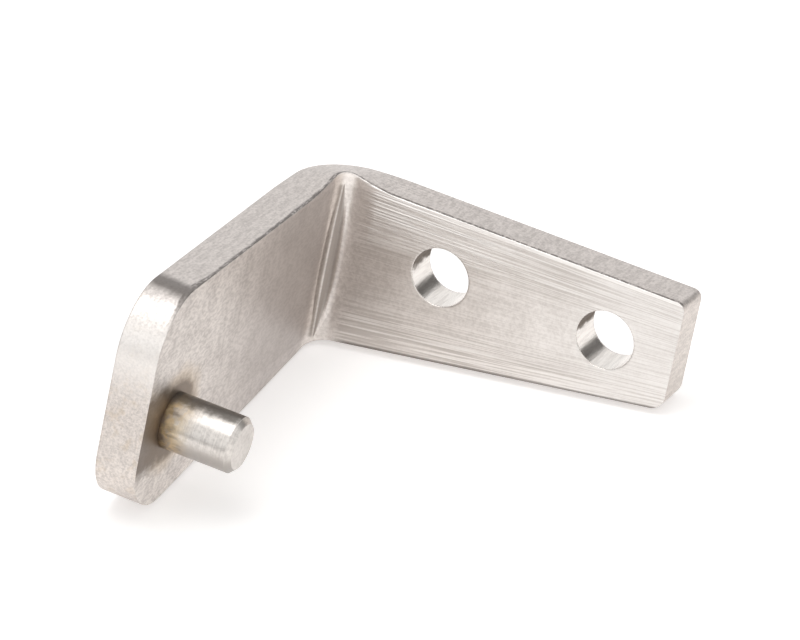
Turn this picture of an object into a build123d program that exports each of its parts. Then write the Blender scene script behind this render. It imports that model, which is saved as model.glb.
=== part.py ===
from build123d import *

import os
from math import cos, pi, sin

# Hinge bracket: a tapered steel plate folded square, with a hinge pin welded through its short leg.
# Millimetres, +Z up. The origin is where the pin's axis leaves the short leg's inner face.
# +X runs along the pin to its tip and along the long leg to its free end, +Y points to the long leg,
# whose outer face is screwed to a cabinet, and +Z runs along the fold to the plate's straight edge.

# Plate
plate_thickness = 4.76
long_leg_reach = 41.35         # from the short leg's inner face to the free end
short_leg_reach = 42.7         # from the long leg's inner face to the free end
long_end_width = 12.8
short_end_width = 27.2
long_end_top_corner = 1.0
long_end_low_corner = 1.8
short_end_corner = 6.8

# Fold
fold_radius = 2.0              # inside
neutral_depth = 2.0            # from the inner face to the layer that keeps its length
edge_swell = 1.0               # rise of the straight edge's squeezed inner side at the middle of the fold
edge_draw = 0.3                # fall of its stretched outer side there
long_swell_run = 4.5           # stretch of the long leg over which the swelling dies out
short_swell_run = 6.0
edge_fall = 0.5                # of the straight edge from the fold to the short end
edge_slant = 0.45              # fall of the straight edge across the short leg's thickness
punch_radius = 1.1             # rounded nose that pressed the mark along the inside of the fold
punch_mark_depth = 0.35
punch_mark_length = 19.5

# Screw holes in the long leg
screw_hole_diameter = 6.75
screw_hole_spacing = 19.9
first_hole_from_short_leg = 13.4
screw_holes_from_edge = 7.3    # below the straight edge

# Hinge pin and its weld
pin_diameter = 6.35
pin_reach = 8.45               # beyond the short leg's inner face
pin_tip_chamfer = 0.6
pin_tail_diameter = 5.0        # of the tail that the shoulder stops in the short leg
pin_from_short_end = 7.1
pin_from_edge = 16.2           # below the straight edge
pin_seat_clearance = 0.02      # on the tail's radius
weld_depth = 1.6               # of the countersink that the weld fills
weld_flare = 1.5               # that the countersink adds to the seat's radius
weld_crown = 0.5               # that the weld stands proud

# Cutters
cutter_margin = 2.0            # that a cutter reaches past what it cuts
fold_stations = 21             # sections of a cutter round the fold

# Places that follow from the sizes
straight_edge_z = pin_from_edge
short_end_y = -pin_from_short_end
inner_face_y = short_end_y + short_leg_reach
outer_face_y = inner_face_y + plate_thickness
outer_face_x = -plate_thickness
fold_x = fold_radius
fold_y = inner_face_y - fold_radius
seat_radius = pin_tail_diameter / 2 + pin_seat_clearance

# Lengths along the flat blank, from the long leg's free end
long_flat = long_leg_reach - fold_radius
fold_length = pi / 2 * (fold_radius + neutral_depth)
fold_end = long_flat + fold_length
blank_length = fold_end + short_leg_reach - fold_radius
taper = (short_end_width - long_end_width) / blank_length


def edge_height(side, along):
    """Height of the straight edge (side 1) or the tapered one (side -1) at a length along the blank."""
    if side > 0:
        return straight_edge_z - edge_fall * max(along - fold_end, 0) / (blank_length - fold_end)
    return straight_edge_z - long_end_width - taper * along


def fold_share(along):
    """Share of the fold that lies before a length along the blank."""
    return min(max((along - long_flat) / fold_length, 0), 1)


def swelling(along):
    """Share of the swelling at a length along the blank, which is whole at the middle of the fold."""
    from_middle = along - (long_flat + fold_end) / 2
    leg_run = short_swell_run if from_middle > 0 else long_swell_run
    return cos(pi / 2 * from_middle / (fold_length / 2 + leg_run)) ** 2


def folded_strip():
    """An L with a round fold, drawn along Z past both edges of the plate."""
    outline = Polyline(
        (long_leg_reach, inner_face_y),
        (0, inner_face_y),
        (0, short_end_y),
        (outer_face_x, short_end_y),
        (outer_face_x, outer_face_y),
        (long_leg_reach, outer_face_y),
        close=True,
    )
    section = make_face(outline)
    inner_corner = section.vertices().sort_by_distance((0, inner_face_y))[0]
    section = fillet(inner_corner, fold_radius)
    outer_corner = section.vertices().sort_by_distance((outer_face_x, outer_face_y))[0]
    section = fillet(outer_corner, fold_radius + plate_thickness)
    low = edge_height(-1, blank_length) - cutter_margin
    high = straight_edge_z + edge_swell + cutter_margin
    return Pos(0, 0, low) * extrude(section, high - low)


def blank_plane(along):
    """Section across the plate at a length along the blank: x from the inner to the outer face, y up."""
    angle = fold_share(along) * pi / 2
    outward = Vector(-sin(angle), cos(angle), 0)
    backward = Vector(cos(angle), sin(angle), 0)
    straight_run = min(along - long_flat, 0) + max(along - fold_end, 0)
    origin = Vector(fold_x, fold_y, 0) + outward * fold_radius - backward * straight_run
    return Plane(origin=origin, x_dir=outward, z_dir=backward)


def edge_section(side, along, swell):
    """What lies beyond one edge at a length along the blank; the straight edge swells and slants."""
    edge = edge_height(side, along)
    inner = edge
    outer = edge
    if side > 0:
        inner += edge_swell * swell
        outer -= edge_draw * swell + edge_slant * fold_share(along)
    tilt = (outer - inner) / plate_thickness
    near = -min(cutter_margin, fold_radius / 2)
    far = plate_thickness + cutter_margin
    beyond = edge + side * short_end_width
    outline = Polyline(
        (near, inner + tilt * near),
        (far, inner + tilt * far),
        (far, beyond),
        (near, beyond),
        close=True,
    )
    return blank_plane(along) * make_face(outline)


def edge_cutter(side):
    """What is cut off beyond one edge, from end to end of the blank, in short steps where the fold swells."""
    swell_start = long_flat - long_swell_run
    swell_length = fold_end + short_swell_run - swell_start
    sections = [edge_section(side, -cutter_margin, 0)]
    for station in range(fold_stations):
        along = swell_start + station * swell_length / (fold_stations - 1)
        sections.append(edge_section(side, along, swelling(along)))
    sections.append(edge_section(side, blank_length + cutter_margin, 0))
    return loft(sections, ruled=True)


def punch_mark():
    """Barrel whose waist bites into the inside of the fold, so that the mark narrows to both ends."""
    half_length = punch_mark_length / 2 + cutter_margin
    fall = punch_mark_depth * (2 * half_length / punch_mark_length) ** 2
    waist = ThreePointArc(
        (punch_radius - fall, -half_length), (punch_radius, 0), (punch_radius - fall, half_length))
    spine = Polyline(waist @ 1, (0, half_length), (0, -half_length), waist @ 0)
    barrel = revolve(Plane.XZ * make_face(waist + spine), Axis.Z)
    from_fold_axis = fold_radius + punch_mark_depth - punch_radius
    edge_middle = (straight_edge_z + edge_height(-1, long_flat + fold_length / 2)) / 2
    bite_x = fold_x - from_fold_axis * sin(pi / 4)
    bite_y = fold_y + from_fold_axis * cos(pi / 4)
    return Pos(bite_x, bite_y, edge_middle) * barrel


def round_ends(plate):
    """Rounds the corners of both free ends."""
    long_corners = plate.faces().sort_by(Axis.X)[-1].edges().sort_by(Axis.Z)
    plate = fillet(long_corners[-1], long_end_top_corner)
    long_corners = plate.faces().sort_by(Axis.X)[-1].edges().sort_by(Axis.Z)
    plate = fillet(long_corners[0], long_end_low_corner)
    short_corners = plate.faces().sort_by(Axis.Y)[0].edges().sort_by(Axis.Z)
    return fillet([short_corners[0], short_corners[-1]], short_end_corner)


def screw_holes():
    """Drills for the two screw holes, along Y."""
    drill = Rot(90, 0, 0) * Cylinder(screw_hole_diameter / 2, plate_thickness + 2 * cutter_margin)
    middle_y = inner_face_y + plate_thickness / 2
    height = straight_edge_z - screw_holes_from_edge
    first = Pos(first_hole_from_short_leg, middle_y, height) * drill
    return [first, Pos(screw_hole_spacing, 0, 0) * first]


def pin_seat():
    """Hole through the short leg, along X, with a countersink in the outer face for the weld."""
    outline = Polyline(
        (cutter_margin, 0),
        (cutter_margin, seat_radius),
        (outer_face_x + weld_depth, seat_radius),
        (outer_face_x, seat_radius + weld_flare),
        (outer_face_x - cutter_margin, seat_radius + weld_flare),
        (outer_face_x - cutter_margin, 0),
        close=True,
    )
    return revolve(make_face(outline), Axis.X)


def bracket_plate():
    """Folded strip with its edges cut and swollen, its ends rounded, and its mark, seat and holes cut."""
    plate = round_ends(folded_strip() - edge_cutter(1) - edge_cutter(-1))
    plate = plate - punch_mark() - pin_seat()
    for drill in screw_holes():
        plate -= drill
    return plate


def hinge_pin():
    """Turned pin with a chamfered tip, a shoulder on the short leg's inner face and a welded tail."""
    radius = pin_diameter / 2
    tail_radius = pin_tail_diameter / 2
    outline = Polyline(
        (outer_face_x + weld_depth, 0),
        (outer_face_x + weld_depth, tail_radius),
        (0, tail_radius),
        (0, radius),
        (pin_reach - pin_tip_chamfer, radius),
        (pin_reach, radius - pin_tip_chamfer),
        (pin_reach, 0),
        close=True,
    )
    return revolve(make_face(outline), Axis.X)


def pin_weld():
    """Plug weld that fills the countersink behind the pin, with a low crown."""
    rim = (outer_face_x, seat_radius + weld_flare)
    crown_top = (outer_face_x - weld_crown, 0)
    crown = TangentArc(crown_top, rim, tangent=(0, 1))
    sides = Polyline(rim, (outer_face_x + weld_depth, seat_radius), (outer_face_x + weld_depth, 0), crown_top)
    return revolve(make_face(crown + sides), Axis.X)


os.makedirs("parts", exist_ok=True)
export_step(bracket_plate(), "parts/bracket_plate.step")
export_step(hinge_pin(), "parts/hinge_pin.step")
export_step(pin_weld(), "parts/pin_weld.step")
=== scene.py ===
import math

import bpy
import numpy as np
from mathutils import Matrix, Vector


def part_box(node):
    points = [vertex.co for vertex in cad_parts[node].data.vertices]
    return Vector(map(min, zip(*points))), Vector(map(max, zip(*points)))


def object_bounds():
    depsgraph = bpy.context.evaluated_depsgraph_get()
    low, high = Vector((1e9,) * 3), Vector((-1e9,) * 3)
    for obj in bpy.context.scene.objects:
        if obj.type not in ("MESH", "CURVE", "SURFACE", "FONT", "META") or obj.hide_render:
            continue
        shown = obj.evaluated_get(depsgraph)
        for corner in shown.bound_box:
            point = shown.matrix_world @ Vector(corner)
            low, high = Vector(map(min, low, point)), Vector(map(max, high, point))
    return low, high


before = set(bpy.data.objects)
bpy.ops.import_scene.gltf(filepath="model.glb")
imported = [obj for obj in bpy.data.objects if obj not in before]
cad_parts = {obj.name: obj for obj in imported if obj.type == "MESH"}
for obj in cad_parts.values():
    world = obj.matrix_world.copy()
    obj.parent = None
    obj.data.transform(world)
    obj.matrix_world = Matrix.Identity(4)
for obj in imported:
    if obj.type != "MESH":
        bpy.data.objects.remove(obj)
CAD_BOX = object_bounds()

bl_info = {
    "name": "Offset hinge bracket",
    "version": (1, 0, 0),
    "blender": (4, 5, 0),
    "location": "View3D > Sidebar > Hinge",
    "description": "Steel finishes for a folded hinge bracket with a welded pin, "
                   "and the table it is photographed on",
    "category": "Object",
}

PLATE_LOW, PLATE_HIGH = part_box("bracket_plate")
MM = 0.001
WHITE = (1, 1, 1, 1)

# Smooth shading: vertices this close are one, in metres, and edges above this angle stay sharp.
SAME_PLACE = 2e-6
SHARP_ANGLE = math.radians(25)

# Shape of the plate that the finishes follow, in millimetres.
PLATE_THICKNESS = 4.76
LONG_INNER_Y = PLATE_HIGH.y / MM - PLATE_THICKNESS
FREE_END_X = PLATE_HIGH.x / MM
SHORT_END_Y = PLATE_LOW.y / MM
STRAIGHT_EDGE_Z = 16.2
FREE_END_WIDTH = 12.8
TAPER = 0.1668
FOLD_RADIUS = 2.0
CREASE_HALF_LENGTH = 9.75
CREASE_MIDDLE_Z = 6.3
BORE_X = (13.4, 33.3)
BORE_Z = 8.9
BORE_RADIUS = 3.375
BORE_REACH = (0.05, 0.02)      # beyond the radius, where a bore's wall starts and is whole

# Tone across the line that the punch pressed into the fold, with painted reflection bands and painted
# shade beside it: distance from its middle towards the long leg, in millimetres, and grey.
CREASE_SPAN = 4.0
CREASE_AND_REFLECTION_TONES = (
    (-2.0, 0.85), (-1.45, 0.85), (-1.15, 0.97), (-0.85, 0.95), (-0.65, 0.7), (-0.5, 0.35),
    (-0.34, 0.3), (-0.2, 0.5), (-0.13, 0.72), (-0.06, 0.5), (0.04, 0.06), (0.45, 0.06),
    (0.84, 0.32), (1.02, 0.82), (1.25, 1.0), (1.8, 1.0), (2.0, 0.85))
CREASE_NARROWEST = 0.03        # share of the crease's width that is left at its ends

# Stretch of the patterns along x, y and z.
FAN_STRETCH = (0.014, 0.3, 16)
GRAIN_STRETCH = (1.0, 0.5, 1.0)
CLOUD_STRETCH = (1.0, 0.6, 1.0)
PIT_STRETCH = (3.0, 0.7, 3.0)
SCORE_STRETCH = (2.2, 0.25, 2.2)
TURNING_STRETCH = (9.0, 0.4, 0.4)
BURN_STRETCH = (0.5, 1.3, 1.3)

# Relief of the finishes: strength, and depth in millimetres; and rounding of the small pieces' rims.
PLATE_RELIEF = (0.5, 0.05)
PIN_RELIEF = (0.25, 0.02)
WELD_RELIEF = (0.6, 0.2)
PIN_EDGE_ROUND = 0.15
WELD_EDGE_ROUND = 0.1

# Stage, in metres and degrees.
TABLE_REACH = 0.9
WALL_RADIUS = 0.6
WALL_COLUMNS = 33
BACK_WALL_TURN = (30, 78)
FRONT_WALL_TURN = (180, 330)
# Lamps: name, direction from the bracket's middle, distance, size and share of the lamp power.
LAMPS = (
    ("Overhead box", (-0.30, -0.25, 0.92), 0.45, 0.30, 1.0),
    ("Front fill", (0.15, -0.9, 0.35), 0.6, 0.4, 0.6),
)

# Camera that was fitted to the photograph: its place in millimetres and the directions of its picture.
CAMERA_PLACE = (277.07, -701.02, 382.77)
CAMERA_RIGHT = (0.88926, 0.41823, 0.18523)
CAMERA_DOWN = (0.33931, -0.33157, -0.8803)
CAMERA_AHEAD = (-0.30675, 0.84567, -0.43675)
SENSOR_WIDTH = 36.0
CLIP_START = 0.05
CLIP_END = 10.0


def fill_ramp(ramp, stops):
    """Sets a colour ramp's stops, each a place from 0 to 1 and a grey."""
    while len(ramp.elements) < len(stops):
        ramp.elements.new(1.0)
    for element, (place, grey) in zip(ramp.elements, stops):
        element.position = place
        element.color = (grey, grey, grey, 1)


class Wire:
    """A node's socket in shader maths: an operator between wires and numbers adds a Math node."""

    def __init__(self, socket):
        self.socket = socket

    def add(self, kind, settings=None, values=None, output=0):
        """Adds a node beside this wire: its settings first, then its sockets' numbers or wires."""
        tree = self.socket.id_data
        node = tree.nodes.new(kind)
        for name, value in (settings or {}).items():
            if name == "stops":
                fill_ramp(node.color_ramp, value)
            else:
                setattr(node, name, value)
        for key, value in (values or {}).items():
            if isinstance(value, Wire):
                tree.links.new(value.socket, node.inputs[key])
            else:
                node.inputs[key].default_value = value
        return Wire(node.outputs[output])

    def math(self, operation, first, second=0.0):
        """A Math node's output."""
        return self.add("ShaderNodeMath", {"operation": operation}, {0: first, 1: second})

    def __add__(self, other):
        return self.math("ADD", self, other)

    def __radd__(self, other):
        return self.math("ADD", other, self)

    def __sub__(self, other):
        return self.math("SUBTRACT", self, other)

    def __rsub__(self, other):
        return self.math("SUBTRACT", other, self)

    def __mul__(self, other):
        return self.math("MULTIPLY", self, other)

    def __rmul__(self, other):
        return self.math("MULTIPLY", other, self)

    def __truediv__(self, other):
        return self.math("DIVIDE", self, other)

    def __pow__(self, other):
        return self.math("POWER", self, other)

    def __abs__(self):
        return self.math("ABSOLUTE", self)

    def over(self, other):
        """The larger of two values."""
        return self.math("MAXIMUM", self, other)

    def under(self, other):
        """The smaller of two values."""
        return self.math("MINIMUM", self, other)

    def ramp(self, low, high):
        """Smooth step: 0 at low and 1 at high, in either order."""
        return self.add("ShaderNodeMapRange", {"interpolation_type": "SMOOTHSTEP"},
                        {"Value": self, "From Min": low, "From Max": high})

    def scaled(self, factors):
        """This vector times three numbers, one for each direction."""
        return self.add("ShaderNodeVectorMath", {"operation": "MULTIPLY"}, {0: self, 1: factors})

    def parts(self):
        """The three values of this vector."""
        split = self.add("ShaderNodeSeparateXYZ", None, {0: self}).socket.node
        return [Wire(socket) for socket in split.outputs]

    def noise(self, scale, detail=3.0, roughness=0.55):
        """Cloudy noise from 0 to 1 on this vector."""
        return self.add("ShaderNodeTexNoise", None,
                        {"Vector": self, "Scale": scale, "Detail": detail, "Roughness": roughness})

    def mixed(self, share, other):
        """This colour changed to another by a share from 0 to 1."""
        return self.add("ShaderNodeMix", {"data_type": "RGBA"}, {0: share, 6: self, 7: other},
                        output=2)


def vector_of(x, y, z):
    """Vector wire of three values, at least the first of which is a wire."""
    return x.add("ShaderNodeCombineXYZ", None, {0: x, 1: y, 2: z})


def distance(first, second):
    """Length of two values at right angles."""
    return (first * first + second * second) ** 0.5


def rgba(colour):
    """A property's colour as a socket takes it."""
    return tuple(colour) + (1,)


def tint(share, first, second):
    """Colour wire that goes from the first colour to the second by a share from 0 to 1."""
    return share.add("ShaderNodeMix", {"data_type": "RGBA"},
                     {0: share, 6: rgba(first), 7: rgba(second)}, output=2)


def new_finish(name):
    """Material with one Principled shader: gives both, the place in millimetres and the normal."""
    material = bpy.data.materials.new(name)
    material.use_nodes = True
    tree = material.node_tree
    shader = tree.nodes["Principled BSDF"]
    coordinates = tree.nodes.new("ShaderNodeTexCoord")
    place = Wire(coordinates.outputs["Object"]).scaled((1 / MM, 1 / MM, 1 / MM))
    return material, shader, place, Wire(coordinates.outputs["Normal"])


def feed(shader, name, wire):
    """Links a wire to one of the shader's sockets."""
    shader.id_data.links.new(wire.socket, shader.inputs[name])


def bumped(height, relief, edge_round):
    """Normal with rounded edges and a relief; its depth and the rounding are in millimetres."""
    strength, depth = relief
    rounded = height.add("ShaderNodeBevel", {"samples": 6}, {"Radius": edge_round * MM})
    return height.add("ShaderNodeBump", None, {
        "Height": height, "Strength": strength, "Distance": depth * MM, "Normal": rounded})


def smooth_skin():
    """Geometry nodes that join a node's loose triangles and shade them smooth between sharp edges."""
    tree = bpy.data.node_groups.new("Smooth skin", "GeometryNodeTree")
    tree.interface.new_socket("Geometry", in_out="INPUT", socket_type="NodeSocketGeometry")
    tree.interface.new_socket("Geometry", in_out="OUTPUT", socket_type="NodeSocketGeometry")
    start = Wire(tree.nodes.new("NodeGroupInput").outputs[0])
    joined = start.add("GeometryNodeMergeByDistance", None,
                       {"Geometry": start, "Distance": SAME_PLACE})
    smooth = joined.add("GeometryNodeSetShadeSmooth", {"domain": "FACE"},
                        {"Geometry": joined, "Shade Smooth": True})
    angle = start.add("GeometryNodeInputMeshEdgeAngle")
    sharp = start.add("FunctionNodeCompare", {"operation": "GREATER_THAN"},
                      {0: angle, 1: SHARP_ANGLE})
    parted = smooth.add("GeometryNodeSetShadeSmooth", {"domain": "EDGE"},
                        {"Geometry": smooth, "Selection": sharp, "Shade Smooth": False})
    end = tree.nodes.new("NodeGroupOutput")
    tree.links.new(parted.socket, end.inputs[0])
    return tree


def dress(node, material):
    """Gives a solid its finish and its smooth shading."""
    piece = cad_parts[node]
    piece.data.materials.clear()
    piece.data.materials.append(material)
    skin = piece.modifiers.new("Smooth skin", "NODES")
    skin.node_group = bpy.data.node_groups.get("Smooth skin") or smooth_skin()


def colour_of(name, description, default):
    """Colour property."""
    return bpy.props.FloatVectorProperty(
        name=name, description=description, default=default, size=3, min=0.0, max=1.0,
        subtype="COLOR")


def share_of(name, description, default):
    """Property from 0 to 1."""
    return bpy.props.FloatProperty(
        name=name, description=description, default=default, min=0.0, max=1.0, subtype="FACTOR")


def angle_of(name, description, degrees):
    """Angle property, with its default in degrees."""
    return bpy.props.FloatProperty(
        name=name, description=description, default=math.radians(degrees), min=0.0,
        subtype="ANGLE", unit="ROTATION")


class PlateFinish(bpy.types.PropertyGroup):
    """Colours and gloss of the folded plate."""

    steel: colour_of("Brushed steel", "Long leg's faces", (0.89, 0.84, 0.80))
    # Brushed shade darkens the long leg's streaks and mottling, and also paints the shade near the
    # fold.
    steel_shade: colour_of(
        "Brushed shade", "Streaks and mottling on the long leg", (0.60, 0.555, 0.52))
    # The two matt colours are one steel, painted darker near the fold as shade and lighter at the free
    # end as light.
    matt: colour_of("Matt steel", "Short leg's faces near the fold", (0.61, 0.565, 0.54))
    matt_front_lit: colour_of(
        "Matt steel in front", "Short leg's faces near its free end", (0.88, 0.83, 0.79))
    matt_shade: colour_of("Matt shade", "Mottling on the short leg", (0.44, 0.40, 0.38))
    cut: colour_of("Cut edge", "Sawn and ground edges", (0.68, 0.63, 0.60))
    # Cut end is the cut edge's steel painted lighter, as the ends catch more light, and round the
    # short end's corner highlight.
    cut_end_lit: colour_of("Cut end", "Ground ends of the legs", (0.76, 0.70, 0.655))
    cut_grain: colour_of("Cut grain", "Pits in the cut edges", (0.36, 0.33, 0.31))
    bored: colour_of("Bored steel", "Walls of the screw holes", (0.84, 0.80, 0.76))
    # Burr also paints highlights and sheen: towards the long leg's free end, under its straight edge
    # and on the short end's corner.
    burr_and_highlight: colour_of("Burr", "Bright lines that the brush left", (0.97, 0.94, 0.91))
    # Rim paints shade: along the top edges' inner rim, along the long leg's lower rim, and in a band
    # on the short end's corner.
    rim: colour_of("Rim", "Dark line along the inner rim of the cut edges", (0.13, 0.115, 0.105))
    # Dark of the fold: the punch's line, and painted shade in the reflection bands beside it.
    crease_and_shade: colour_of("Crease", "Dark of the crease inside the fold", (0.27, 0.235, 0.21))
    straw: colour_of("Straw tint", "Heat tint round the pin's root", (0.56, 0.43, 0.28))
    # Scorch also paints the pin's shadow on the plate, in front of the pin.
    scorch_and_shade: colour_of("Scorch", "Dark ring at the pin's root", (0.18, 0.14, 0.112))
    gloss: share_of("Roughness", "Roughness of the brushed faces", 0.32)
    cut_gloss: share_of("Edge roughness", "Roughness of the cut edges", 0.42)
    edge_round: bpy.props.FloatProperty(
        name="Edge rounding", description="Rounding of the rims", default=0.3 * MM, min=0.0,
        unit="LENGTH")


class PinFinish(bpy.types.PropertyGroup):
    """Colours and gloss of the pin."""

    steel: colour_of("Steel", "Turned steel of the pin", (0.76, 0.72, 0.68))
    # Painted dark reflection along the top of the pin.
    dark_reflection: colour_of("Tarnish", "Dull band along the top of the pin", (0.15, 0.135, 0.12))
    # Shade darkens the turning marks, and paints shade on the pin's underside and end.
    shade: colour_of("Shade", "Turning marks and the dull underside", (0.40, 0.37, 0.345))
    straw: colour_of("Straw tint", "Tint near the plate", (0.76, 0.58, 0.32))
    # Scorch at the root also paints the shade where the pin meets the plate.
    scorch_and_shade: colour_of("Scorch", "Dark band at the root", (0.12, 0.08, 0.05))
    gloss: share_of("Roughness", "Roughness of the turned steel", 0.25)


class WeldFinish(bpy.types.PropertyGroup):
    """Colours and gloss of the weld behind the pin."""

    bead: colour_of("Bead", "Weld bead", (0.50, 0.455, 0.415))
    shade: colour_of("Shade", "Hollows of the weld bead", (0.31, 0.265, 0.225))
    straw: colour_of("Straw tint", "Tint at the bead's rim", (0.50, 0.38, 0.25))
    gloss: share_of("Roughness", "Roughness of the bead", 0.36)


class TableStage(bpy.types.PropertyGroup):
    """The table, the light and the camera."""

    table: colour_of("Table", "Colour of the table", (0.93, 0.915, 0.905))
    glow: share_of(
        "Table lift", "Brightness added to the table so that it reads as white", 0.36)
    room: colour_of(
        "Room", "Dim room beyond the table, which only the steel shows", (0.13, 0.125, 0.12))
    back_rise: angle_of(
        "Room height behind", "How far the dim room rises behind the table", 22)
    front_rise: angle_of(
        "Room height in front", "How far the dim room rises in front", 6.5)
    ambient: share_of("Ambient", "Strength of the white surroundings on matt surfaces", 0.66)
    lamp_power: bpy.props.FloatProperty(
        name="Lamp power", description="Power of the overhead soft box", default=0.55, min=0.0,
        unit="POWER")
    lens: bpy.props.FloatProperty(
        name="Lens", description="Focal length of the camera", default=360.0, min=1.0,
        unit="CAMERA")


class PlateSurface:
    """Masks, patterns and finishes of the folded plate, as wires on its place and normal."""

    def __init__(self, finish, place, normal):
        self.finish = finish
        self.place = place
        self.x, self.y, self.z = place.parts()
        self.nx, self.ny, self.nz = normal.parts()
        self.find_faces()
        self.draw_patterns()

    def find_faces(self):
        """Masks of the legs, ends, bores and cut edges, and the depth under the inner face."""
        x, y, z = self.x, self.y, self.z
        self.on_short = y.ramp(LONG_INNER_Y - 1.0, LONG_INNER_Y - 3.0)
        self.on_long = x.ramp(1.8, 4.5)
        beyond_short = (FOLD_RADIUS - x).over(0.0)
        beyond_long = (y - LONG_INNER_Y + FOLD_RADIUS).over(0.0)
        self.depth = distance(beyond_short, beyond_long) - FOLD_RADIUS
        self.at_long_end = abs(self.nx) * x.ramp(FREE_END_X - 4.0, FREE_END_X - 3.0)
        self.at_short_end = abs(self.ny) * y.ramp(SHORT_END_Y + 9.0, SHORT_END_Y + 8.0)
        self.end = self.at_long_end.over(self.at_short_end)
        start, whole = (BORE_RADIUS + reach for reach in BORE_REACH)
        first, second = (distance(x - middle, z - BORE_Z).ramp(start, whole) for middle in BORE_X)
        self.bore = first.over(second)
        self.cut = abs(self.nz).over(self.end).ramp(0.35, 0.6) * (1 - self.bore)

    def draw_patterns(self):
        """Noises that more than one finish uses, and where the brush worked."""
        x, y, z, place = self.x, self.y, self.z, self.place
        # Height across the long leg, 0 at the tapered edge and 1 at the straight one, so that the
        # brush's lines fan between them.
        width = FREE_END_WIDTH + (FREE_END_X - x) * TAPER
        self.rise = 1 - (STRAIGHT_EDGE_Z - z) / width
        fan = vector_of(x * FAN_STRETCH[0], y * FAN_STRETCH[1], self.rise * FAN_STRETCH[2])
        self.streaks = fan.noise(2.2, 3.0, 0.55)
        self.hairs = fan.noise(6.0, 1.0, 0.5)
        near_rims = abs(self.rise - 0.45).ramp(0.08, 0.36).over(x.ramp(34.0, 38.0) * 0.7)
        self.brush = self.on_long * (0.22 + near_rims * 0.78)
        self.upper = self.rise.ramp(0.55, 0.85) * x.ramp(30.0, 8.0) * self.on_long
        self.grain = place.scaled(GRAIN_STRETCH).noise(2.6, 4.0, 0.65)
        self.cloud = place.scaled(CLOUD_STRETCH).noise(0.8, 3.0, 0.6)
        self.scores = place.scaled(SCORE_STRETCH).noise(1.0, 3.0, 0.6)
        # Brown stain in the bores, high on the side by the fold.
        self.stain = self.nx.ramp(0.5, 0.75) * (self.nz + self.cloud * 0.6).ramp(0.48, 0.22)
        self.stained = self.bore * self.stain

    def legs(self):
        """Colour of the legs' faces: brushed steel on the long leg, matt steel on the short one, with
        painted sheen towards the long leg's free end and straight edge, and painted shade near the
        fold.
        """
        finish, x, rise = self.finish, self.x, self.rise
        on_long, brush, upper = self.on_long, self.brush, self.upper
        mottle = self.place.noise(0.35, 3.0, 0.5).ramp(0.35, 0.7)
        blotch = mottle * 0.3 + self.grain.ramp(0.41, 0.6) * 0.42
        blotch = blotch * (1 - self.depth.ramp(2.0, 4.0) * 0.55)

        # Painted sheen: the long leg turns lighter towards its free end and its straight edge, as it
        # catches more light there.
        painted_sheen = x.ramp(14.0, 38.0).over(on_long * rise.ramp(0.6, 0.95) * 0.6)
        # Painted shade on the long leg near the fold.
        painted_fold_shade = x.ramp(13.0, 5.0) * x.ramp(1.6, 4.0) * rise.ramp(0.85, 0.6)
        lines = self.streaks.ramp(0.42, 0.62) * 0.3 + self.hairs.ramp(0.48, 0.57) * 0.8
        lines = lines * (1 - painted_sheen * 0.5) * (1 - upper * 0.5)
        tone = blotch * (1 - brush * 0.7) * (1 - painted_sheen * 0.4) + lines * brush + painted_fold_shade * 0.4
        bright = self.hairs.ramp(0.44, 0.38) * brush * (0.6 + upper * 0.4)
        brushed = tint(painted_sheen, finish.steel, finish.burr_and_highlight).mixed(tone, rgba(finish.steel_shade))
        brushed = brushed.mixed(bright, rgba(finish.burr_and_highlight))
        # Bright line just under the straight edge: a burr, with a painted highlight along the edge.
        brushed = brushed.mixed(rise.ramp(0.968, 0.982) * on_long * 0.7, rgba(finish.burr_and_highlight))
        # Painted shade: dark line along the long leg's lower rim, which faces the table.
        brushed = brushed.mixed(rise.ramp(0.022, 0.010) * on_long * 0.75, rgba(finish.rim))

        # Painted shade on the short leg near the fold, and painted light towards its free end.
        matt = tint(self.y.ramp(26.0, 4.0), finish.matt, finish.matt_front_lit)
        matt = matt.mixed(blotch, rgba(finish.matt_shade))
        return brushed.mixed(self.on_short, matt)

    def creased(self, base):
        """Adds the punch's line along the inside of the fold, with painted reflection bands and
        painted shade beside it; all narrow to both ends.
        """
        from_middle = (self.z - CREASE_MIDDLE_Z) / CREASE_HALF_LENGTH
        narrowing = (1 - from_middle * from_middle).over(CREASE_NARROWEST)
        from_crease = (self.x - LONG_INNER_Y + self.y) * math.sqrt(0.5)
        across = from_crease.over(0.0) / narrowing + from_crease.under(0.0)
        # Grey across the fold: the punch's line and painted reflection bands, with painted shade
        # between them.
        stops = [(away / CREASE_SPAN + 0.5, grey) for away, grey in CREASE_AND_REFLECTION_TONES]
        tone = across.add("ShaderNodeValToRGB", {"stops": stops},
                          {"Fac": across / CREASE_SPAN + 0.5})
        short_of_ends = narrowing.ramp(CREASE_NARROWEST, 0.12)
        inside = self.depth.ramp(1.2, 0.8) * short_of_ends * (1 - self.cut)
        return base.mixed(inside * (1 - tone), rgba(self.finish.crease_and_shade))

    def heated(self, base):
        """Adds the straw halo and the scorched ring round the pin's root, the pin's painted shadow in
        front of it, and the halo behind it.
        """
        y, z, cloud = self.y, self.z, self.cloud
        from_axis = distance(y, z) + cloud * 2 - 1
        inner = self.nx.ramp(0.4, 0.8) * self.on_short
        halo = from_axis.ramp(7.2, 4.0) * inner
        # Painted shadow of the pin on the plate, in front of the pin.
        front = (y + cloud * 2).ramp(0.4, -1.8) * (abs(z - 0.2) + cloud * 2.4).ramp(7.2, 5.0)
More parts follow.
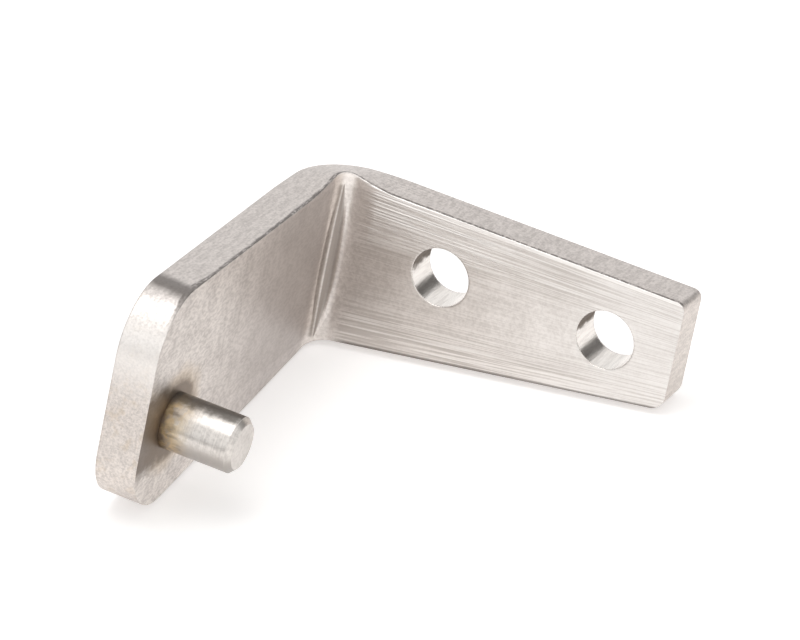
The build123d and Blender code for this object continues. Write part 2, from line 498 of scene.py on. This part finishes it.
        # Scorch round the pin's root, joined with the pin's painted shadow.
        ring = (from_axis.ramp(5.6, 4.0) * 0.85).over(front * 0.85) * inner
        behind = from_axis.ramp(8.0, 4.4) * self.nx.ramp(-0.4, -0.8) * self.on_short * 0.5
        base = base.mixed((halo * 0.6).over(behind), rgba(self.finish.straw))
        return base.mixed(ring, rgba(self.finish.scorch_and_shade))

    def edged(self, base):
        """Adds the cut edges and ends: pits, ends painted lighter, a painted highlight and sheen on
        the short end's corner, and painted shade along the rim and where that corner begins to curve.
        """
        finish, place = self.finish, self.place
        y, z, ny, nz = self.y, self.z, self.ny, self.nz
        depth, end, at_short_end, cloud = self.depth, self.end, self.at_short_end, self.cloud
        pits = place.noise(3.8, 3.0, 0.6).ramp(0.4, 0.62) * 0.55
        pits = pits + place.scaled(PIT_STRETCH).noise(0.9).ramp(0.4, 0.6) * 0.45
        # Ends painted lighter than the top and bottom edges, as they catch more light.
        edge = tint(end.ramp(0.4, 0.9), finish.cut, finish.cut_end_lit)
        edge = edge.mixed(pits * (0.6 - end * 0.1), rgba(finish.cut_grain))
        edge = edge.mixed(cloud.ramp(0.5, 0.75) * at_short_end * 0.3, rgba(finish.straw))
        # Painted sheen on the short end, below its corner's highlight.
        sheen_under_corner = z.ramp(3.0, 9.0) * z.ramp(14.5, 11.0) * at_short_end
        edge = edge.mixed(sheen_under_corner * 0.6, rgba(finish.burr_and_highlight))
        # Painted highlight on the roundings that face up and sideways, chiefly the short end's corner.
        corner_highlight = nz.ramp(0.0, 0.35) * abs(ny).ramp(0.35, 0.55) * (1 - self.at_long_end)
        edge = edge.mixed(corner_highlight * (0.4 - pits * 0.35), rgba(finish.burr_and_highlight))

        # Painted shade: dark band where the short end's corner begins to curve.
        corner_shade_band = abs(y - SHORT_END_Y - 6.0 - depth * 0.25 + cloud).ramp(1.9, 0.5)
        corner_shade_band = corner_shade_band * nz.ramp(0.72, 0.93)
        near_corner = abs(y - SHORT_END_Y - 6.5).ramp(4.0, 0.5)
        broken = (0.35 + self.grain.ramp(0.38, 0.52) * 0.65).over(y.ramp(3.0, -1.0) * 0.8)
        # Painted shade along the inner rim of the top edges, broken by grain.
        rim = (depth + cloud * 0.45 - near_corner * 0.4).ramp(0.75, 0.5)
        rim = rim * broken * nz.ramp(0.55, 0.9)
        edge = edge.mixed((corner_shade_band * 0.8).over(rim * 0.85), rgba(finish.rim))
        return base.mixed(self.cut, edge)

    def bored(self, base):
        """Adds the walls of the screw holes: scores that the punch left along them, and a stain."""
        finish = self.finish
        wall = tint(self.scores.ramp(0.42, 0.6) * 0.4, finish.bored, finish.steel_shade)
        wall = wall.mixed(self.stain * 0.85, rgba(finish.scorch_and_shade))
        return base.mixed(self.bore, wall)

    def roughness(self):
        """Roughness: cut edges, the short leg and stains are duller, and bores shinier."""
        gloss = self.finish.gloss + self.streaks * self.brush * 0.1
        gloss = gloss + self.cut * (self.finish.cut_gloss - self.finish.gloss)
        return gloss - self.bore * 0.1 + self.on_short * (1 - self.cut) * 0.13 + self.stained * 0.6

    def relief(self):
        """Height of the brush's lines, the grain and the scores."""
        lines = (self.hairs + self.streaks) * self.brush * (1 + self.upper * 9)
        grain = self.grain * (0.25 + self.cut)
        return (lines + grain) * (1 - self.bore) + self.scores * self.bore * 0.5


class HINGE_OT_plate(bpy.types.Operator):
    """Brushes the folded plate, with grained cut edges and a heat tint round the pin"""

    bl_idname = "hinge.plate"
    bl_label = "Finish the plate"

    def execute(self, context):
        finish = context.scene.hinge_plate
        material, shader, place, normal = new_finish("Brushed plate")
        surface = PlateSurface(finish, place, normal)
        base = surface.creased(surface.legs())
        base = surface.edged(surface.heated(base))
        feed(shader, "Base Color", surface.bored(base))
        feed(shader, "Roughness", surface.roughness())
        feed(shader, "Metallic", 1 - surface.stained * 0.9)
        feed(shader, "Normal", bumped(surface.relief(), PLATE_RELIEF, finish.edge_round / MM))
        dress("bracket_plate", material)
        return {"FINISHED"}


class HINGE_OT_pin(bpy.types.Operator):
    """Turns the pin bright, with a tint and burns at its root, painted shade at its root and
    underside, and a painted dark reflection along its top
    """

    bl_idname = "hinge.pin"
    bl_label = "Finish the pin"

    def execute(self, context):
        finish = context.scene.hinge_pin
        material, shader, place, normal = new_finish("Turned pin")
        x = place.parts()[0]
        nx, _, nz = normal.parts()
        cloud = place.noise(0.7, 3.0, 0.6)
        turned = place.scaled(TURNING_STRETCH).noise(1.0, 3.0, 0.5)
        grain = place.noise(2.4, 4.0, 0.65).ramp(0.38, 0.68)
        patches = cloud.ramp(0.42, 0.56)
        straw = (x + cloud * 3 - 1.5).ramp(4.2, 0.6)
        burns = place.scaled(BURN_STRETCH).noise(1.0, 2.0, 0.5).ramp(0.48, 0.66)
        # Scorch at the pin's root, which also paints the shade where the pin meets the plate.
        scorch_and_shade = (x + cloud * 1.8 - 0.9).ramp(1.1, 0.1).over(straw * burns * 0.6)
        # Painted dark reflection along the pin's top.
        dark_reflection = (nz + cloud * 0.3).ramp(0.98, 1.14) * (1 - nx.ramp(0.3, 0.6))
        # Painted shade on the pin's underside and on its end face.
        shaded = nz.ramp(0.05, -0.35).over(nx.ramp(0.8, 0.95) * 0.25)
        base = tint(turned.ramp(0.35, 0.7) * 0.25 + grain * 0.35, finish.steel, finish.shade)
        base = base.mixed(shaded * 0.9, rgba(finish.shade))
        base = base.mixed(straw * (0.25 + patches * 0.6), rgba(finish.straw))
        base = base.mixed(scorch_and_shade * 0.85, rgba(finish.scorch_and_shade))
        base = base.mixed(dark_reflection * 0.85, rgba(finish.dark_reflection))
        feed(shader, "Base Color", base)
        feed(shader, "Roughness", finish.gloss + turned * 0.12 + scorch_and_shade * 0.2)
        feed(shader, "Normal", bumped(turned, PIN_RELIEF, PIN_EDGE_ROUND))
        shader.inputs["Metallic"].default_value = 1.0
        dress("hinge_pin", material)
        return {"FINISHED"}


class HINGE_OT_weld(bpy.types.Operator):
    """Gives the weld behind the pin an uneven bead with a tint at its rim"""

    bl_idname = "hinge.weld"
    bl_label = "Finish the weld"

    def execute(self, context):
        finish = context.scene.hinge_weld
        material, shader, place, _ = new_finish("Weld bead")
        x, y, z = place.parts()
        from_axis = distance(y, z)
        cloud = place.noise(1.1, 4.0, 0.6)
        rings = vector_of(from_axis * 1.1, x, cloud * 2).noise(1.6, 3.0, 0.6)
        relief = rings * 0.35 + cloud * 0.65
        base = tint(relief.ramp(0.38, 0.62), finish.bead, finish.shade)
        base = base.mixed((from_axis + cloud).ramp(3.4, 4.6) * 0.6, rgba(finish.straw))
        feed(shader, "Base Color", base)
        feed(shader, "Roughness", finish.gloss + relief * 0.2)
        feed(shader, "Normal", bumped(relief, WELD_RELIEF, WELD_EDGE_ROUND))
        shader.inputs["Metallic"].default_value = 1.0
        dress("pin_weld", material)
        return {"FINISHED"}


def table_fall():
    """Height at the origin of the plane through both tapered edges, in metres: the least of
    z - TAPER * (x + y) over the solids' vertices."""
    lowest = []
    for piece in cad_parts.values():
        flat = np.empty(len(piece.data.vertices) * 3, np.float32)
        piece.data.vertices.foreach_get("co", flat)
        points = flat.reshape(-1, 3)
        lowest.append((points[:, 2] - TAPER * (points[:, 0] + points[:, 1])).min())
    return float(min(lowest))


def grid_mesh(name, points):
    """Mesh with a quad between each four neighbours on a grid of points: rows, columns and x, y, z."""
    rows, columns = points.shape[:2]
    first = (np.arange(rows - 1)[:, None] * columns + np.arange(columns - 1)[None, :]).ravel()
    faces = np.stack([first, first + columns, first + columns + 1, first + 1], axis=1)
    mesh = bpy.data.meshes.new(name)
    mesh.from_pydata(points.reshape(-1, 3).tolist(), [], faces.tolist())
    return mesh


def table_top(reach):
    """Square of the plane z = TAPER * (x + y) + fall, which both tapered edges stand on."""
    u, v = np.meshgrid((-reach, 0.0, reach), (-reach, 0.0, reach), indexing="ij")
    return grid_mesh("Table", np.stack([u, v, TAPER * (u + v) + table_fall()], axis=-1))


def dim_wall(turn_range, rise):
    """Part of a ring that stands round the table: the radius times the cosine and sine of the turn,
    along two axes of the table, plus a height along the table's normal that runs up to the radius
    times the tangent of the rise."""
    up = np.array((-TAPER, -TAPER, 1.0)) / np.linalg.norm((-TAPER, -TAPER, 1.0))
    sideways = np.cross((0.0, 1.0, 0.0), up)
    across = sideways / np.linalg.norm(sideways)
    ahead = np.cross(up, across)
    first, last = (math.radians(turn) for turn in turn_range)
    turn, height = np.meshgrid(
        np.linspace(first, last, WALL_COLUMNS),
        np.array((0.0, WALL_RADIUS * math.tan(rise))), indexing="ij")
    round_table = np.cos(turn)[..., None] * across + np.sin(turn)[..., None] * ahead
    points = WALL_RADIUS * round_table + height[..., None] * up
    return grid_mesh("Dim wall", points + np.array((0, 0, table_fall())))


def seen_directly(tree):
    """Wire that is 1 for what the camera, a shiny surface or a clear one sees, and else 0."""
    path = tree.nodes.new("ShaderNodeLightPath")
    camera, glossy, clear = (
        Wire(path.outputs[f"Is {kind} Ray"]) for kind in ("Camera", "Glossy", "Transmission"))
    return camera.over(glossy).over(clear)


class HINGE_OT_stage(bpy.types.Operator):
    """Sets the bracket on a white table under a soft box, with the camera at the photograph's place"""

    bl_idname = "hinge.stage"
    bl_label = "Set the stage"

    def execute(self, context):
        stage = context.scene.hinge_stage
        self.lay_table(context, stage)
        self.stand_walls(context, stage)
        self.hang_lamps(context, stage)
        self.light_surroundings(context, stage)
        self.place_camera(context, stage)
        context.scene.view_settings.view_transform = "Standard"
        return {"FINISHED"}

    def lay_table(self, context, stage):
        """White table that keeps shadows, reads as white, and is clear from below."""
        material = bpy.data.materials.new("White table")
        material.use_nodes = True
        tree = material.node_tree
        tree.nodes.remove(tree.nodes["Principled BSDF"])
        seen = seen_directly(tree)
        matt = seen.add("ShaderNodeBsdfDiffuse", None, {"Color": rgba(stage.table)})
        glow = seen.add("ShaderNodeEmission", None,
                        {"Color": WHITE, "Strength": seen * stage.glow})
        top = seen.add("ShaderNodeAddShader", None, {0: matt, 1: glow})
        behind = Wire(tree.nodes.new("ShaderNodeNewGeometry").outputs["Backfacing"])
        clear = seen.add("ShaderNodeBsdfTransparent")
        shown = seen.add("ShaderNodeMixShader", None, {0: behind, 1: top, 2: clear})
        tree.links.new(shown.socket, tree.nodes["Material Output"].inputs["Surface"])
        table = bpy.data.objects.new("Table", table_top(TABLE_REACH))
        table.data.materials.append(material)
        context.scene.collection.objects.link(table)

    def stand_walls(self, context, stage):
        """Dim room behind and in front, which only reflections show."""
        material = bpy.data.materials.new("Dim room")
        material.use_nodes = True
        shader = material.node_tree.nodes["Principled BSDF"]
        shader.inputs["Base Color"].default_value = rgba(stage.room)
        shader.inputs["Roughness"].default_value = 1.0
        walls = ((BACK_WALL_TURN, stage.back_rise), (FRONT_WALL_TURN, stage.front_rise))
        for turn_range, rise in walls:
            mesh = dim_wall(turn_range, rise)
            mesh.materials.append(material)
            wall = bpy.data.objects.new("Dim wall", mesh)
            wall.visible_camera = False
            wall.visible_diffuse = False
            wall.visible_shadow = False
            context.scene.collection.objects.link(wall)

    def hang_lamps(self, context, stage):
        """Soft boxes that point at the bracket's middle."""
        middle = (Vector(CAD_BOX[0]) + Vector(CAD_BOX[1])) / 2
        for name, direction, away, size, share in LAMPS:
            data = bpy.data.lights.new(name, "AREA")
            data.size = size
            data.energy = stage.lamp_power * share
            lamp = bpy.data.objects.new(name, data)
            towards = Vector(direction).normalized()
            lamp.location = middle + towards * away
            lamp.rotation_euler = towards.to_track_quat("Z", "Y").to_euler()
            context.scene.collection.objects.link(lamp)

    def light_surroundings(self, context, stage):
        """White world, dimmer as a light on matt surfaces than it looks."""
        world = bpy.data.worlds.new("White room")
        context.scene.world = world
        world.use_nodes = True
        tree = world.node_tree
        strength = stage.ambient + seen_directly(tree) * (1 - stage.ambient)
        room = tree.nodes["Background"]
        room.inputs["Color"].default_value = WHITE
        tree.links.new(strength.socket, room.inputs["Strength"])

    def place_camera(self, context, stage):
        """Camera at the photograph's place."""
        data = bpy.data.cameras.new("Camera")
        data.sensor_fit = "HORIZONTAL"
        data.sensor_width = SENSOR_WIDTH
        data.lens = stage.lens
        data.clip_start = CLIP_START
        data.clip_end = CLIP_END
        camera = bpy.data.objects.new("Camera", data)
        axes = (Vector(CAMERA_RIGHT), -Vector(CAMERA_DOWN), -Vector(CAMERA_AHEAD))
        turn = Matrix(axes).transposed().to_4x4()
        camera.matrix_world = Matrix.Translation(Vector(CAMERA_PLACE) * MM) @ turn
        context.scene.collection.objects.link(camera)
        context.scene.camera = camera


class HINGE_PT_panel(bpy.types.Panel):
    """Finishes and stage of the hinge bracket"""

    bl_idname = "HINGE_PT_panel"
    bl_label = "Hinge"
    bl_space_type = "VIEW_3D"
    bl_region_type = "UI"
    bl_category = "Hinge"

    def draw(self, context):
        groups = (
            ("hinge_plate", HINGE_OT_plate),
            ("hinge_pin", HINGE_OT_pin),
            ("hinge_weld", HINGE_OT_weld),
            ("hinge_stage", HINGE_OT_stage),
        )
        for name, operator in groups:
            box = self.layout.box()
            group = getattr(context.scene, name)
            for value in group.__annotations__:
                box.prop(group, value)
            box.operator(operator.bl_idname)


CLASSES = (
    PlateFinish, PinFinish, WeldFinish, TableStage,
    HINGE_OT_plate, HINGE_OT_pin, HINGE_OT_weld, HINGE_OT_stage, HINGE_PT_panel)


def register():
    """Registers the classes and their properties on the scene."""
    for kind in CLASSES:
        bpy.utils.register_class(kind)
    bpy.types.Scene.hinge_plate = bpy.props.PointerProperty(type=PlateFinish)
    bpy.types.Scene.hinge_pin = bpy.props.PointerProperty(type=PinFinish)
    bpy.types.Scene.hinge_weld = bpy.props.PointerProperty(type=WeldFinish)
    bpy.types.Scene.hinge_stage = bpy.props.PointerProperty(type=TableStage)


def unregister():
    """Undoes register."""
    del bpy.types.Scene.hinge_stage
    del bpy.types.Scene.hinge_weld
    del bpy.types.Scene.hinge_pin
    del bpy.types.Scene.hinge_plate
    for kind in reversed(CLASSES):
        bpy.utils.unregister_class(kind)


def main():
    """Finishes the three pieces and sets the stage."""
    register()
    bpy.ops.hinge.plate()
    bpy.ops.hinge.pin()
    bpy.ops.hinge.weld()
    bpy.ops.hinge.stage()


if __name__ == "__main__":
    main()
